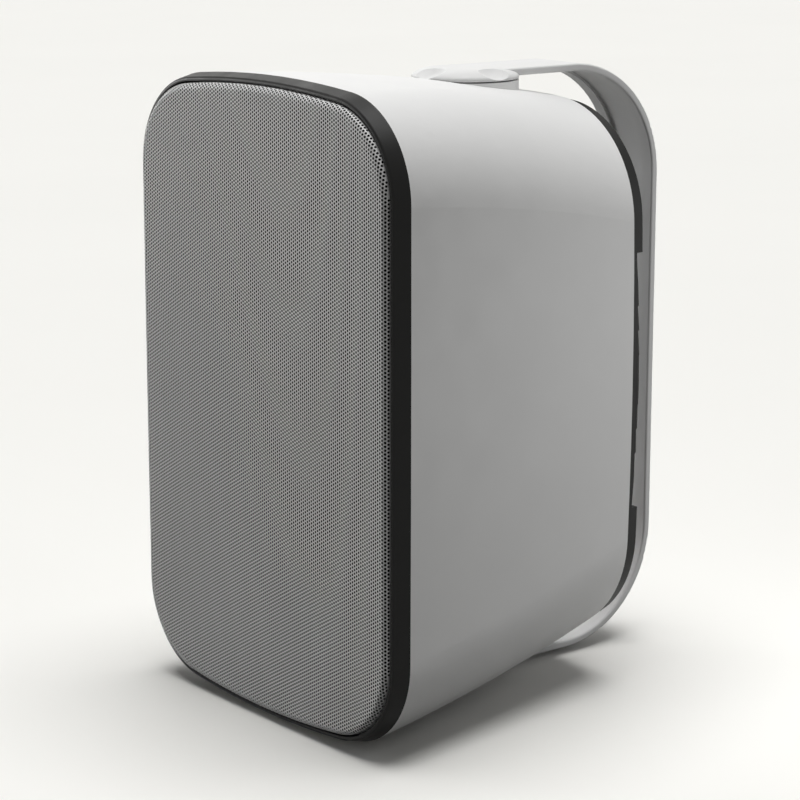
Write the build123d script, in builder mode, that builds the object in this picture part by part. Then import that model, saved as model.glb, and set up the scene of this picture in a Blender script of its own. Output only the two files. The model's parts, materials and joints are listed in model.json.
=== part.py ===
"""Outdoor two-way speaker in a C shaped swivel bracket. Wall at y = 0, front towards -Y, +Z up, in mm."""
import os
from math import sqrt

from build123d import *

# Cabinet: places are distances from the wall, measured towards the front
DEPTH = 204.5
TRIM_DEPTH = 6.9
SHELL_LENGTH = 139.1
FRONT_W = 175.8
FRONT_H = 265.2
FRONT_CORNER_R = 40.7
FRONT_CROWN = 7.5
FRONT_SIDE_CROWN = 0.4
REAR_W = 126.4
REAR_H = 234.6
REAR_CORNER_R = 49.9
REAR_CROWN = 9.8
REAR_SIDE_CROWN = 3.3
SIDE_SWELL = 0.25
TOP_SWELL = 2.6
SHELL_WALL = 3.0
FIT_GAP = 0.3

# Front moulding and grille
TRIM_FLARE_X = 2.4
TRIM_FLARE_Z = 1.6
TRIM_EDGE_R = 1.2
TRIM_LIP = 3.0
GROOVE_LIP = 1.4
GROOVE_DEPTH = 4.0
GRILLE_GAP = 0.7
GRILLE_PROUD = 2.2
GRILLE_T = 0.9
GRILLE_EDGE_R = 2.4
GRILLE_HOLE_R = 4.0
GRILLE_HOLE_PITCH = 19.0
GRILLE_HOLE_MARGIN = 9.0
CLOTH_T = 0.5
POCKET_DEPTH = 9.5
BAFFLE_T = 9.0

# Rear moulding
RIM_DEPTH = 6.5
RIM_INSET = 1.0
RIM_DRAFT = 0.8
RIM_WALL = 2.6
RIM_FLOOR_T = 3.0
PLUG_LENGTH = 7.5
HOUSING_W = 119.0
HOUSING_H = 107.0
HOUSING_GAP = 1.5
HOUSING_RISE = 5.0
HOUSING_CROWN = 2.6
HOUSING_EDGE_R = 1.5

# Pivots
PIVOT_OUT = 98.5
SEAT_Z = 125.4
SEAT_R = 22.5
SEAT_GAP = 0.7
SEAT_DEPTH = 14.0
WASHER_T = 0.6
WASHER_R = 21.0
HUB_R = 14.0
HUB_DEPTH = 5.0
HUB_GAP = 0.4
BOSS_R = 11.0
BOSS_DEPTH = 24.0
INSERT_R = 6.0
INSERT_LENGTH = 15.0
SCREW_R = 4.0
SCREW_HEAD_R = 6.8
SCREW_HEAD_H = 4.4
SCREW_GAP = 0.3
PIVOT_CAP_T = 1.6
SOCKET_R = 2.9
SOCKET_DEPTH = 2.6

# Bracket
STRAP_W = 30.0
STRAP_T = 3.2
STRAP_BEND_R = 50.0
STRAP_TOP_Z = 130.0
STRAP_EDGE_R = 0.9
CHANNEL_W = 17.0
CHANNEL_DEPTH = 1.0
DISC_R = 22.5
DISC_FLAT_R = 11.5
DISC_RIM_H = 0.6
DISC_RISE = 0.3
SCOOP_R = 13.0
SCOOP_OFFSET = 22.0
SCOOP_FLOOR = 0.4
WALL_HOLE_SPACING = 90.0
WALL_HOLE_R = 2.75
WALL_SINK_R = 5.2

# Woofer
WOOFER_Z = -38.0
WOOFER_R = 73.0
WOOFER_CUTOUT_R = 63.2
WOOFER_FLANGE_T = 3.0
WOOFER_WALL = 2.7
BASKET_DEPTH = 38.0
BASKET_BASE_R = 41.0
BASKET_FLOOR_T = 3.0
BASKET_WINDOWS = 6
BASKET_WINDOW_W = 26.0
SPIDER_LEDGE_R = 33.0
SPIDER_LEDGE_H = 7.0
SPIDER_T = 0.6
SPIDER_WAVE = 1.1
SPIDER_FOLDS = 8
WOOFER_LIP_R = 58.0
CONE_R = 51.5
CONE_RIM = 3.5
CONE_DEPTH = 16.5
CONE_T = 1.0
CAP_R = 18.0
CAP_H = 6.0
CAP_T = 0.8
COIL_R = 13.6
COIL_T = 0.8
COIL_LENGTH = 32.0
COIL_GAP = 0.6
TOP_PLATE_R = 37.0
TOP_PLATE_T = 5.0
MAGNET_R = 43.0
MAGNET_BORE_R = 24.0
MAGNET_T = 14.0
YOKE_R = 38.0
YOKE_T = 5.0
VENT_R = 4.0
ROLL_T = 1.0
ROLL_FLANGE = 4.5

# Tweeter
TWEETER_Z = 78.0
TWEETER_R = 37.0
TWEETER_CUTOUT_R = 26.5
TWEETER_FLANGE_T = 3.0
TWEETER_HORN_R = 22.0
TWEETER_THROAT_R = 16.5
TWEETER_THROAT_T = 1.0
DOME_R = 12.6
DOME_H = 5.0
DOME_T = 0.4
DOME_SKIRT = 6.0
DOME_GAP = 0.3
DOME_ROLL_R = 1.4
DOME_LAND = 0.4
TWEETER_PLATE_R = 24.5
TWEETER_PLATE_T = 3.0
TWEETER_MAGNET_R = 24.0
TWEETER_MAGNET_BORE_R = 16.0
TWEETER_MAGNET_T = 8.0
TWEETER_YOKE_R = 25.0
TWEETER_YOKE_T = 5.0

# Passive radiator
RADIATOR_R = 51.0
RADIATOR_BORE_R = 42.0
RADIATOR_FRAME_T = 3.0
RADIATOR_PROUD = 0.5
RADIATOR_CONE_R = 34.0
RADIATOR_RIM = 4.0
RADIATOR_DISH = 3.0
RADIATOR_DISH_R = 24.0
RADIATOR_CONE_T = 2.2
RADIATOR_MASS_R = 9.0
RADIATOR_MASS_H = 6.0
GASKET_T = 1.0

# Terminals and crossover
TERMINAL_Z = -84.0
TERMINAL_W = 62.0
TERMINAL_H = 32.0
TERMINAL_T = 2.5
TERMINAL_EDGE = 6.0
POST_PITCH = 22.0
POST_R = 3.0
POST_INNER = 12.0
POST_OUTER = 14.5
COLLAR_R = 6.2
COLLAR_T = 3.0
KNOB_R = 6.6
KNOB_LENGTH = 10.0
KNOB_GAP = 0.05
KNOB_FLUTES = 10
KNOB_FLUTE_R = 0.9
BOARD_Z = -75.0
BOARD_W = 66.0
BOARD_H = 34.0
BOARD_T = 1.6
STANDOFF_R = 3.0
STANDOFF_H = 6.0
STANDOFF_INSET = 4.5
COIL_BOBBIN_R = 12.5
COIL_BOBBIN_BORE_R = 5.0
COIL_BOBBIN_H = 12.0
COIL_BOBBIN_X = -18.0
CAPACITOR_R = 6.5
CAPACITOR_LENGTH = 25.0
CAPACITOR_X = 10.0
CAPACITOR_PITCH = 16.0
RESISTOR_W = 6.0
RESISTOR_LENGTH = 22.0
RESISTOR_X = 28.0

# Screws that hold the mouldings and drivers
CASE_SCREW_R = 1.9
CASE_SCREW_HEAD_R = 3.2
CASE_SCREW_HEAD_H = 2.2
CASE_SCREW_BITE = 9.0
CASE_BOSS_R = 8.4
CASE_BOSS_LENGTH = 11.0
CASE_BOSS_INSET = 7.0
DRIVER_SCREW_R = 1.6
DRIVER_SCREW_HEAD_R = 2.9
DRIVER_SCREW_HEAD_H = 1.8
DRIVER_SCREW_BITE = 4.0
WOOFER_SCREWS = 4
TWEETER_SCREWS = 4
RADIATOR_SCREWS = 6
SCREW_EDGE = 3.6

# Places that follow from the sizes, as distances from the wall
TRIM_BACK = DEPTH - TRIM_DEPTH
SHELL_BACK = TRIM_BACK - SHELL_LENGTH
FACE_OUT = DEPTH - POCKET_DEPTH
BAFFLE_BACK = FACE_OUT - BAFFLE_T
LEDGE_OUT = DEPTH - GROOVE_DEPTH
GRILLE_FRONT = DEPTH + GRILLE_PROUD
GRILLE_INSET = GROOVE_LIP + GRILLE_GAP
PANEL_FRONT = SHELL_BACK + PLUG_LENGTH
PANEL_FACE = SHELL_BACK - RIM_FLOOR_T
RIM_BACK = SHELL_BACK - RIM_DEPTH
HOUSING_BACK = PANEL_FACE - HOUSING_RISE
RIM_NOTCH_H = HOUSING_H + 2 * HOUSING_GAP
DISC_BASE_Z = SEAT_Z + WASHER_T
DISC_TOP_Z = STRAP_TOP_Z + DISC_RISE
SCREW_SEAT_Z = DISC_TOP_Z - PIVOT_CAP_T - SCREW_GAP - SCREW_HEAD_H
SCREW_END_Z = SEAT_Z - HUB_DEPTH - HUB_GAP - INSERT_LENGTH


def facing(out):
    """Sketch plane at a distance from the wall, x across and y up."""
    return Plane.XZ.offset(out)


def axial(height):
    """Sketch plane through a driver's axis: x is the distance from the wall, y the radius."""
    return Plane(origin=(0, 0, height), x_dir=(0, -1, 0), z_dir=(-1, 0, 0))


def driver_axis(height):
    """Axis of a driver, pointing to the front."""
    return Axis((0, 0, height), (0, -1, 0))


def shell_section(out, inset=0.0):
    """Half width, half height, corner radius, top crown and side crown of the shell at one place."""
    back = (TRIM_BACK - out) / SHELL_LENGTH
    swell = 4 * back * (1 - back)
    return (
        (FRONT_W + (REAR_W - FRONT_W) * back) / 2 + SIDE_SWELL * swell - inset,
        (FRONT_H + (REAR_H - FRONT_H) * back) / 2 + TOP_SWELL * swell - inset,
        FRONT_CORNER_R + (REAR_CORNER_R - FRONT_CORNER_R) * back - inset,
        FRONT_CROWN + (REAR_CROWN - FRONT_CROWN) * back,
        FRONT_SIDE_CROWN + (REAR_SIDE_CROWN - FRONT_SIDE_CROWN) * back,
    )


def trim_section(inset=0.0):
    """The trim's front edge, which is a little smaller than the shell behind it."""
    half_w, half_h, corner_r, crown, side_crown = shell_section(TRIM_BACK, inset)
    return half_w - TRIM_FLARE_X, half_h - TRIM_FLARE_Z, corner_r - TRIM_FLARE_X, crown, side_crown


def crown_circles(section):
    """Centres and radii of the arcs that make a section's top and its right side."""
    half_w, half_h, corner_r, crown, side_crown = section
    top_r = (half_w**2 + crown**2) / (2 * crown)
    side_r = (half_h**2 + side_crown**2) / (2 * side_crown)
    return Vector(0, half_h - top_r), top_r, Vector(half_w - side_r, 0), side_r


def corner_centre(section):
    """Centre of a section's corner arc, which touches its top arc and its side arc from inside."""
    top, top_r, side, side_r = crown_circles(section)
    reach_top = top_r - section[2]
    reach_side = side_r - section[2]
    span = side - top
    along = (reach_top**2 - reach_side**2 + span.length**2) / (2 * span.length)
    foot = top + span.normalized() * along
    across = Vector(span.Y, -span.X).normalized()
    return foot + across * sqrt(reach_top**2 - along**2)


def crowned_outline(section):
    """Rounded rectangle with four shallow arcs for sides, as a sketch."""
    top, top_r, side, side_r = crown_circles(section)
    half_w, half_h, corner_r = section[:3]
    centre = corner_centre(section)
    on_top = top + (centre - top).normalized() * top_r
    on_side = side + (centre - side).normalized() * side_r
    middle = ((on_top - centre).normalized() + (on_side - centre).normalized()).normalized()
    on_corner = centre + middle * corner_r
    with BuildSketch() as outline:
        with BuildLine():
            ThreePointArc((-on_top.X, on_top.Y), (0, half_h), (on_top.X, on_top.Y))
            ThreePointArc((on_top.X, on_top.Y), (on_corner.X, on_corner.Y), (on_side.X, on_side.Y))
            ThreePointArc((on_side.X, on_side.Y), (half_w, 0), (on_side.X, -on_side.Y))
            ThreePointArc((on_side.X, -on_side.Y), (on_corner.X, -on_corner.Y), (on_top.X, -on_top.Y))
            ThreePointArc((on_top.X, -on_top.Y), (0, -half_h), (-on_top.X, -on_top.Y))
            ThreePointArc((-on_top.X, -on_top.Y), (-on_corner.X, -on_corner.Y), (-on_side.X, -on_side.Y))
            ThreePointArc((-on_side.X, -on_side.Y), (-half_w, 0), (-on_side.X, on_side.Y))
            ThreePointArc((-on_side.X, on_side.Y), (-on_corner.X, on_corner.Y), (-on_top.X, on_top.Y))
        make_face()
    return outline.sketch


def corner_points(section, inset):
    """Four points on the corners' diagonals, at one distance inside the outline."""
    centre = corner_centre(section)
    reach = (section[2] - inset) / sqrt(2)
    x, z = centre.X + reach, centre.Y + reach
    return [(x, z), (-x, z), (-x, -z), (x, -z)]


def staggered_points(section, pitch):
    """Points of a staggered pattern that lie inside a section's outline, as x and z."""
    zone = crowned_outline(section).face()
    column = pitch * sqrt(3) / 2
    columns = int(section[0] / column)
    rows = int(section[1] / pitch) + 1
    points = []
    for i in range(-columns, columns + 1):
        for j in range(-rows, rows + 1):
            point = (i * column, (j + (i % 2) / 2) * pitch)
            if zone.is_inside((*point, 0)):
                points.append(point)
    return points


def save(piece, name):
    """Labels a finished piece and writes its file."""
    piece.part.label = name
    export_step(piece.part, f"parts/{name}.step")


def ring(height, back, front, outer_r, inner_r):
    """Flat ring about a driver's axis."""
    with BuildPart() as piece:
        with BuildSketch(facing(back)):
            with Locations((0, height)):
                Circle(outer_r)
                Circle(inner_r, mode=Mode.SUBTRACT)
        extrude(amount=front - back)
    return piece


def roll(height, seat, inner, outer, thickness, rearward=False):
    """Half roll surround between two flat flanges, each given as its inner and outer radius."""
    mid_r = (inner[1] + outer[0]) / 2
    roll_r = (outer[0] - inner[1]) / 2
    side = -1 if rearward else 1
    base = seat + side * thickness / 2
    with BuildPart() as piece:
        with BuildSketch(axial(height)):
            with Locations((base, mid_r)):
                Circle(roll_r + thickness / 2)
                Circle(roll_r - thickness / 2, mode=Mode.SUBTRACT)
            with Locations((seat - side * roll_r, mid_r)):
                Rectangle(2 * roll_r, 4 * roll_r, mode=Mode.SUBTRACT)
            for low_r, high_r in (inner, outer):
                with Locations((base, (low_r + high_r) / 2)):
                    Rectangle(thickness, high_r - low_r)
        revolve(axis=driver_axis(height))
    return piece


def driver_screws(places, head_seat, head_dir, length):
    """Round headed screws along Y: head outside its seat, shank the other way."""
    with BuildPart() as piece:
        with BuildSketch(facing(head_seat)):
            with Locations(*places):
                Circle(DRIVER_SCREW_HEAD_R)
        extrude(amount=head_dir * DRIVER_SCREW_HEAD_H)
        with BuildSketch(facing(head_seat)):
            with Locations(*places):
                Circle(DRIVER_SCREW_R)
        extrude(amount=-head_dir * length)
    return piece


def case_screws(places, head_seat, head_dir, length):
    """The larger screws that hold the two mouldings to the shell."""
    with BuildPart() as piece:
        with BuildSketch(facing(head_seat)):
            with Locations(*places):
                Circle(CASE_SCREW_HEAD_R)
        extrude(amount=head_dir * CASE_SCREW_HEAD_H)
        with BuildSketch(facing(head_seat)):
            with Locations(*places):
                Circle(CASE_SCREW_R)
        extrude(amount=-head_dir * length)
    return piece


def strap_layer(outer_drop, inner_drop):
    """Side view of one layer of the C shaped strap, between two depths under its outer face."""
    with BuildSketch() as layer:
        with BuildLine():
            lines = []
            for drop in (outer_drop, inner_drop):
                top = STRAP_TOP_Z - drop
                bends = [(-PIVOT_OUT, top), (-drop, top), (-drop, -top), (-PIVOT_OUT, -top)]
                lines.append(FilletPolyline(*bends, radius=STRAP_BEND_R - drop))
            Line(lines[0] @ 0, lines[1] @ 0)
            Line(lines[0] @ 1, lines[1] @ 1)
        make_face()
    return layer.sketch


def polar_points(height, radius, count, start):
    """Points on a bolt circle about a driver's axis, as x and z."""
    spokes = [Vector(radius, 0).rotate(Axis.Z, start + 360 * i / count) for i in range(count)]
    return [(spoke.X, spoke.Y + height) for spoke in spokes]


os.makedirs("parts", exist_ok=True)

front_screw_places = corner_points(shell_section(BAFFLE_BACK, SHELL_WALL), CASE_BOSS_INSET)
rear_screw_places = corner_points(shell_section(PANEL_FRONT, SHELL_WALL), CASE_BOSS_INSET)
woofer_screw_r = WOOFER_R - SCREW_EDGE
tweeter_screw_r = TWEETER_R - SCREW_EDGE
radiator_screw_r = RADIATOR_R - SCREW_EDGE
woofer_screw_places = polar_points(WOOFER_Z, woofer_screw_r, WOOFER_SCREWS, 45)
tweeter_screw_places = polar_points(TWEETER_Z, tweeter_screw_r, TWEETER_SCREWS, 45)
radiator_screw_places = polar_points(0, radiator_screw_r, RADIATOR_SCREWS, 0)
terminal_screw_x = (TERMINAL_W - TERMINAL_EDGE) / 2
terminal_screw_places = [(terminal_screw_x, TERMINAL_Z), (-terminal_screw_x, TERMINAL_Z)]
section_outs = [TRIM_BACK - SHELL_LENGTH * i / 3 for i in range(4)]

# Outer form of the sleeve, kept to trim its screw bosses
with BuildPart() as sleeve_form:
    for out in section_outs:
        with BuildSketch(facing(out)):
            add(crowned_outline(shell_section(out)))
    loft()

# White sleeve: tapered shell, screw bosses and the two pivot seats
with BuildPart() as cabinet_shell:
    add(sleeve_form.part)
    for out in section_outs:
        with BuildSketch(facing(out)):
            add(crowned_outline(shell_section(out, SHELL_WALL)))
    loft(mode=Mode.SUBTRACT)
    with BuildSketch(facing(BAFFLE_BACK)):
        with Locations(*front_screw_places):
            Circle(CASE_BOSS_R)
    extrude(amount=-CASE_BOSS_LENGTH)
    with BuildSketch(facing(PANEL_FRONT)):
        with Locations(*rear_screw_places):
            Circle(CASE_BOSS_R)
    extrude(amount=CASE_BOSS_LENGTH)
    add(sleeve_form.part, mode=Mode.INTERSECT)
    with BuildSketch(facing(BAFFLE_BACK)):
        with Locations(*front_screw_places):
            Circle(CASE_SCREW_R)
    extrude(amount=-CASE_SCREW_BITE, mode=Mode.SUBTRACT)
    with BuildSketch(facing(PANEL_FRONT)):
        with Locations(*rear_screw_places):
            Circle(CASE_SCREW_R)
    extrude(amount=CASE_SCREW_BITE, mode=Mode.SUBTRACT)
    for side in (1, -1):
        seat = Plane(origin=(0, -PIVOT_OUT, side * SEAT_Z), z_dir=(0, 0, side))
        with BuildSketch(seat):
            Circle(SEAT_R)
        extrude(amount=-SEAT_DEPTH)
        with BuildSketch(seat):
            Circle(BOSS_R)
        extrude(amount=-BOSS_DEPTH)
        with BuildSketch(seat):
            Circle(SEAT_R + SEAT_GAP)
        extrude(amount=FRONT_CROWN, mode=Mode.SUBTRACT)
        with BuildSketch(seat):
            Circle(HUB_R + HUB_GAP)
        extrude(amount=-HUB_DEPTH - HUB_GAP, mode=Mode.SUBTRACT)
        with BuildSketch(seat):
            Circle(INSERT_R)
        extrude(amount=-HUB_DEPTH - HUB_GAP - INSERT_LENGTH, mode=Mode.SUBTRACT)
save(cabinet_shell, "cabinet_shell")

# Black front moulding: trim rim, grille pocket and the board that carries the drivers
with BuildPart() as front_baffle:
    with BuildSketch(facing(TRIM_BACK)):
        add(crowned_outline(shell_section(TRIM_BACK)))
    with BuildSketch(facing(DEPTH)):
        add(crowned_outline(trim_section()))
    loft()
    fillet(front_baffle.faces().sort_by(Axis.Y)[0].edges(), TRIM_EDGE_R)
    for out in (BAFFLE_BACK, TRIM_BACK):
        with BuildSketch(facing(out)):
            add(crowned_outline(shell_section(out, SHELL_WALL + FIT_GAP)))
    loft()
    with BuildSketch(facing(FACE_OUT)):
        add(crowned_outline(trim_section(TRIM_LIP)))
    extrude(amount=POCKET_DEPTH, mode=Mode.SUBTRACT)
    with BuildSketch(facing(LEDGE_OUT)):
        add(crowned_outline(trim_section(GROOVE_LIP)))
    extrude(amount=GROOVE_DEPTH, mode=Mode.SUBTRACT)
    with BuildSketch(facing(FACE_OUT)):
        with Locations((0, WOOFER_Z)):
            Circle(WOOFER_R + FIT_GAP)
    extrude(amount=-WOOFER_FLANGE_T - GASKET_T, mode=Mode.SUBTRACT)
    with BuildSketch(facing(FACE_OUT)):
        with Locations((0, TWEETER_Z)):
            Circle(TWEETER_R + FIT_GAP)
    extrude(amount=-TWEETER_FLANGE_T - GASKET_T, mode=Mode.SUBTRACT)
    with BuildSketch(facing(FACE_OUT)):
        with Locations((0, WOOFER_Z)):
            Circle(WOOFER_CUTOUT_R)
        with Locations((0, TWEETER_Z)):
            Circle(TWEETER_CUTOUT_R)
        with Locations(*front_screw_places):
            Circle(CASE_SCREW_R)
    extrude(amount=-BAFFLE_T, mode=Mode.SUBTRACT)
    with BuildSketch(facing(FACE_OUT - WOOFER_FLANGE_T - GASKET_T)):
        with Locations(*woofer_screw_places):
            Circle(DRIVER_SCREW_R)
    extrude(amount=-DRIVER_SCREW_BITE, mode=Mode.SUBTRACT)
    with BuildSketch(facing(FACE_OUT - TWEETER_FLANGE_T - GASKET_T)):
        with Locations(*tweeter_screw_places):
            Circle(DRIVER_SCREW_R)
    extrude(amount=-DRIVER_SCREW_BITE, mode=Mode.SUBTRACT)
save(front_baffle, "front_baffle")

# Grille: formed and perforated steel sheet, whose folded skirt stands on the ledge in the trim
with BuildPart() as grille_void:
    with BuildSketch(facing(LEDGE_OUT)):
        add(crowned_outline(trim_section(GRILLE_INSET + GRILLE_T)))
    extrude(amount=GRILLE_FRONT - GRILLE_T - LEDGE_OUT)
    fillet(grille_void.faces().sort_by(Axis.Y)[0].edges(), GRILLE_EDGE_R - GRILLE_T)

grille_hole_places = staggered_points(trim_section(GRILLE_INSET + GRILLE_HOLE_MARGIN), GRILLE_HOLE_PITCH)
with BuildPart() as grille:
    with BuildSketch(facing(LEDGE_OUT)):
        add(crowned_outline(trim_section(GRILLE_INSET)))
    extrude(amount=GRILLE_FRONT - LEDGE_OUT)
    fillet(grille.faces().sort_by(Axis.Y)[0].edges(), GRILLE_EDGE_R)
    add(grille_void.part, mode=Mode.SUBTRACT)
    with BuildSketch(facing(GRILLE_FRONT - GRILLE_T)):
        with Locations(*grille_hole_places):
            RegularPolygon(GRILLE_HOLE_R, 6)
    extrude(amount=GRILLE_T, mode=Mode.SUBTRACT)
save(grille, "grille")

# Water shedding cloth behind the flat of the grille's sheet
with BuildPart() as grille_cloth:
    with BuildSketch(facing(GRILLE_FRONT - GRILLE_T)):
        add(crowned_outline(trim_section(GRILLE_INSET + GRILLE_EDGE_R)))
    extrude(amount=-CLOTH_T)
save(grille_cloth, "grille_cloth")

save(case_screws(front_screw_places, FACE_OUT, 1, BAFFLE_T + CASE_SCREW_BITE), "baffle_screws")

# Black rear moulding: plug, rim with its side notches, and the raised radiator housing
rear_section = shell_section(SHELL_BACK, RIM_INSET)
with BuildPart() as rear_panel:
    with BuildSketch(facing(SHELL_BACK)):
        add(crowned_outline(rear_section))
    with BuildSketch(facing(RIM_BACK)):
        add(crowned_outline(shell_section(SHELL_BACK, RIM_INSET + RIM_DRAFT)))
    loft()
    with BuildSketch(facing(PANEL_FACE)):
        add(crowned_outline(shell_section(SHELL_BACK, RIM_INSET + RIM_DRAFT + RIM_WALL)))
    extrude(amount=-RIM_DEPTH, mode=Mode.SUBTRACT)
    with BuildSketch(facing(PANEL_FACE)):
        Rectangle(REAR_W, RIM_NOTCH_H)
    extrude(amount=-RIM_DEPTH, mode=Mode.SUBTRACT)
    with BuildSketch(facing(SHELL_BACK)):
        add(crowned_outline(shell_section(SHELL_BACK, SHELL_WALL + FIT_GAP)))
    extrude(amount=PLUG_LENGTH)
    with BuildSketch(Plane.YZ):
        with BuildLine():
            edge_y = -HOUSING_BACK - HOUSING_CROWN
            Polyline((edge_y, HOUSING_H / 2), (-PANEL_FACE, HOUSING_H / 2), (-PANEL_FACE, -HOUSING_H / 2),
                     (edge_y, -HOUSING_H / 2))
            ThreePointArc((edge_y, -HOUSING_H / 2), (-HOUSING_BACK, 0), (edge_y, HOUSING_H / 2))
        make_face()
    extrude(amount=HOUSING_W / 2, both=True)
    fillet(rear_panel.faces().sort_by(Axis.Y)[-1].edges(), HOUSING_EDGE_R)
    radiator_seat = HOUSING_BACK - RADIATOR_PROUD + RADIATOR_FRAME_T + GASKET_T
    with BuildSketch(facing(radiator_seat)):
        Circle(RADIATOR_R + FIT_GAP)
    extrude(amount=-HOUSING_RISE, mode=Mode.SUBTRACT)
    with BuildSketch(facing(PANEL_FRONT)):
        Circle(RADIATOR_BORE_R)
    extrude(amount=radiator_seat - PANEL_FRONT, mode=Mode.SUBTRACT)
    with BuildSketch(facing(PANEL_FRONT)):
        with Locations((0, TERMINAL_Z)):
            opening_w = TERMINAL_W - 2 * TERMINAL_EDGE
            opening_h = TERMINAL_H - 2 * TERMINAL_EDGE
            RectangleRounded(opening_w, opening_h, TERMINAL_EDGE / 2)
        with Locations(*rear_screw_places):
            Circle(CASE_SCREW_R)
    extrude(amount=-PLUG_LENGTH - RIM_FLOOR_T, mode=Mode.SUBTRACT)
    with BuildSketch(facing(PANEL_FACE)):
        with Locations((0, TERMINAL_Z)):
            RectangleRounded(TERMINAL_W, TERMINAL_H, TERMINAL_EDGE)
    extrude(amount=TERMINAL_T, mode=Mode.SUBTRACT)
    with BuildSketch(facing(PANEL_FACE)):
        with Locations(*terminal_screw_places):
            Circle(DRIVER_SCREW_R)
    extrude(amount=TERMINAL_T + DRIVER_SCREW_BITE, mode=Mode.SUBTRACT)
    with BuildSketch(facing(radiator_seat)):
        with Locations(*radiator_screw_places):
            Circle(DRIVER_SCREW_R)
    extrude(amount=DRIVER_SCREW_BITE, mode=Mode.SUBTRACT)
save(rear_panel, "rear_panel")

rear_screw_length = PANEL_FRONT - PANEL_FACE + CASE_SCREW_BITE
save(case_screws(rear_screw_places, PANEL_FACE, -1, rear_screw_length), "rear_panel_screws")

# Pivot hardware, alike at the top and the bottom
for side, name in ((1, "top"), (-1, "bottom")):
    seat = Plane(origin=(0, -PIVOT_OUT, side * SEAT_Z), z_dir=(0, 0, side))
    socket_floor = Plane(origin=(0, -PIVOT_OUT, side * SCREW_SEAT_Z), z_dir=(0, 0, side))
    with BuildPart() as washer:
        with BuildSketch(seat):
            Circle(WASHER_R)
            Circle(HUB_R + HUB_GAP, mode=Mode.SUBTRACT)
        extrude(amount=WASHER_T)
    save(washer, f"{name}_friction_washer")
    with BuildPart() as insert:
        with BuildSketch(seat.offset(-HUB_DEPTH - HUB_GAP)):
            Circle(INSERT_R)
            Circle(SCREW_R, mode=Mode.SUBTRACT)
        extrude(amount=-INSERT_LENGTH)
    save(insert, f"{name}_pivot_insert")
    with BuildPart() as screw:
        with BuildSketch(socket_floor):
            Circle(SCREW_HEAD_R)
        extrude(amount=SCREW_HEAD_H)
        with BuildSketch(socket_floor):
            Circle(SCREW_R)
        extrude(amount=SCREW_END_Z - SCREW_SEAT_Z)
        with BuildSketch(socket_floor.offset(SCREW_HEAD_H)):
            RegularPolygon(SOCKET_R, 6)
        extrude(amount=-SOCKET_DEPTH, mode=Mode.SUBTRACT)
    save(screw, f"{name}_pivot_screw")
    with BuildPart() as pivot_cap:
        with BuildSketch(Plane(origin=(0, -PIVOT_OUT, side * DISC_TOP_Z), z_dir=(0, 0, side))):
            Circle(SCREW_HEAD_R + SCREW_GAP)
        extrude(amount=-PIVOT_CAP_T)
    save(pivot_cap, f"{name}_pivot_cap")

# Bracket: one strap bent into a C, a domed disc with finger scoops at each end
with BuildPart() as wall_bracket:
    with BuildSketch(Plane.YZ):
        add(strap_layer(0, STRAP_T))
    extrude(amount=STRAP_W / 2, both=True)
    side_faces = wall_bracket.faces().filter_by(Axis.X)
    fillet(side_faces.edges(), STRAP_EDGE_R)
    with BuildSketch(Plane.YZ):
        add(strap_layer(STRAP_T - CHANNEL_DEPTH, STRAP_T))
    extrude(amount=CHANNEL_W / 2, both=True, mode=Mode.SUBTRACT)
    for side in (1, -1):
        with BuildSketch(Plane.XZ.offset(PIVOT_OUT)) as profile:
            with BuildLine():
                rim_z = DISC_BASE_Z + DISC_RIM_H
                Polyline((0, DISC_TOP_Z), (0, DISC_BASE_Z - HUB_DEPTH), (HUB_R, DISC_BASE_Z - HUB_DEPTH),
                         (HUB_R, DISC_BASE_Z), (DISC_R, DISC_BASE_Z), (DISC_R, rim_z))
                EllipticalCenterArc((DISC_FLAT_R, rim_z), DISC_R - DISC_FLAT_R, DISC_TOP_Z - rim_z,
                                    start_angle=0, arc_size=90)
                Line((DISC_FLAT_R, DISC_TOP_Z), (0, DISC_TOP_Z))
            make_face()
            if side < 0:
                mirror(about=Plane.XZ, mode=Mode.REPLACE)
        revolve(axis=Axis((0, -PIVOT_OUT, 0), (0, 0, 1)))
        scoop_z = side * (DISC_BASE_Z + SCOOP_FLOOR + SCOOP_R)
        with Locations((0, -PIVOT_OUT - SCOOP_OFFSET, scoop_z), (SCOOP_OFFSET, -PIVOT_OUT, scoop_z),
                       (-SCOOP_OFFSET, -PIVOT_OUT, scoop_z)):
            Sphere(SCOOP_R, mode=Mode.SUBTRACT)
        top = Plane(origin=(0, -PIVOT_OUT, side * DISC_TOP_Z), z_dir=(0, 0, side))
        with BuildSketch(top):
            Circle(SCREW_HEAD_R + SCREW_GAP)
        extrude(amount=-(DISC_TOP_Z - SCREW_SEAT_Z), mode=Mode.SUBTRACT)
        with BuildSketch(top):
            Circle(SCREW_R + SCREW_GAP)
        extrude(amount=-(DISC_TOP_Z - DISC_BASE_Z + HUB_DEPTH), mode=Mode.SUBTRACT)
    with Locations(Location((0, CHANNEL_DEPTH - STRAP_T, 0), (90, 0, 0))):
        with GridLocations(STRAP_W, WALL_HOLE_SPACING, 1, 2):
            CounterSinkHole(WALL_HOLE_R, WALL_SINK_R, depth=STRAP_T - CHANNEL_DEPTH, counter_sink_angle=120)
save(wall_bracket, "wall_bracket")

# Places along the two front drivers' axes
tweeter_seat = FACE_OUT - TWEETER_FLANGE_T
tweeter_plate_back = tweeter_seat - TWEETER_PLATE_T
tweeter_magnet_back = tweeter_plate_back - TWEETER_MAGNET_T
woofer_seat = FACE_OUT - WOOFER_FLANGE_T
basket_floor = FACE_OUT - BASKET_DEPTH
spider_seat = basket_floor + BASKET_FLOOR_T + SPIDER_LEDGE_H
cone_front = FACE_OUT
neck_front = cone_front - CONE_DEPTH
coil_bore_r = COIL_R - COIL_T
plate_back = basket_floor - TOP_PLATE_T
magnet_back = plate_back - MAGNET_T

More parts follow.
